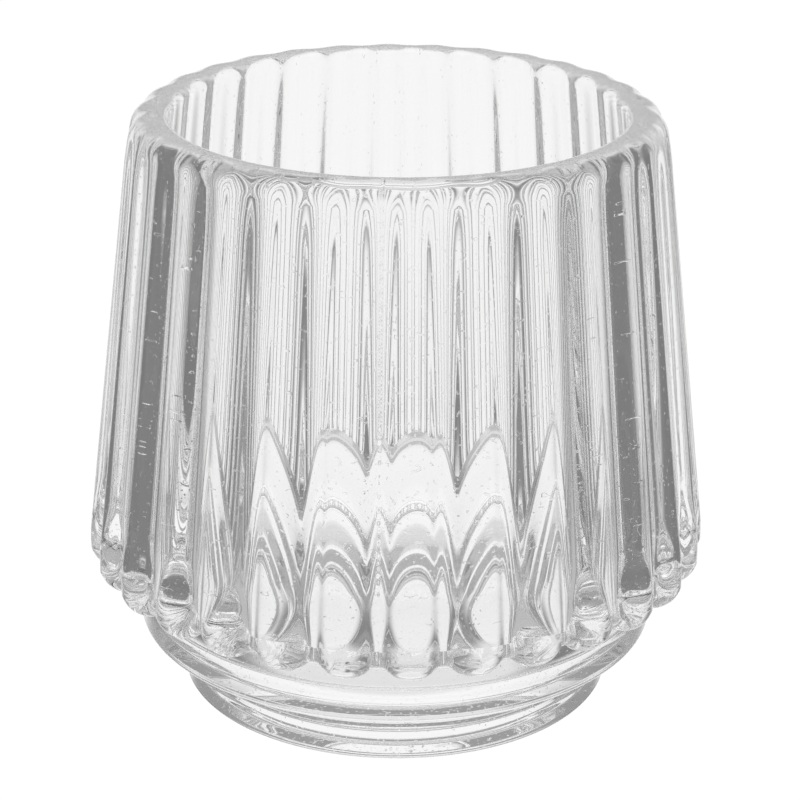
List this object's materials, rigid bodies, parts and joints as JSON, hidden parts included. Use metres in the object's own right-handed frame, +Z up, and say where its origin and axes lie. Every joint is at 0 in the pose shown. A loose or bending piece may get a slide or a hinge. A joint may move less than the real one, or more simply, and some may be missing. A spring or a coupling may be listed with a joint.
{
  "type": "tealight holder",
  "caption": "Round clear glass tealight holder: a ribbed wall that widens downwards, a rounded rim, an open candle well, a smooth collar and a plain foot.",
  "frame": {"origin": "centre of the circle that the foot stands on", "axes": "+Z up along the axis of the round body; -Y is the side with the vertical mould line in a groove"},
  "size_m": [0.0838, 0.0838, 0.08],
  "materials": {
    "clear_glass": "clear, fire-polished, mould-blown"
  },
  "bodies": {
    "root": {"ribbed_glass_body": "clear_glass"}
  },
  "joints": []
}
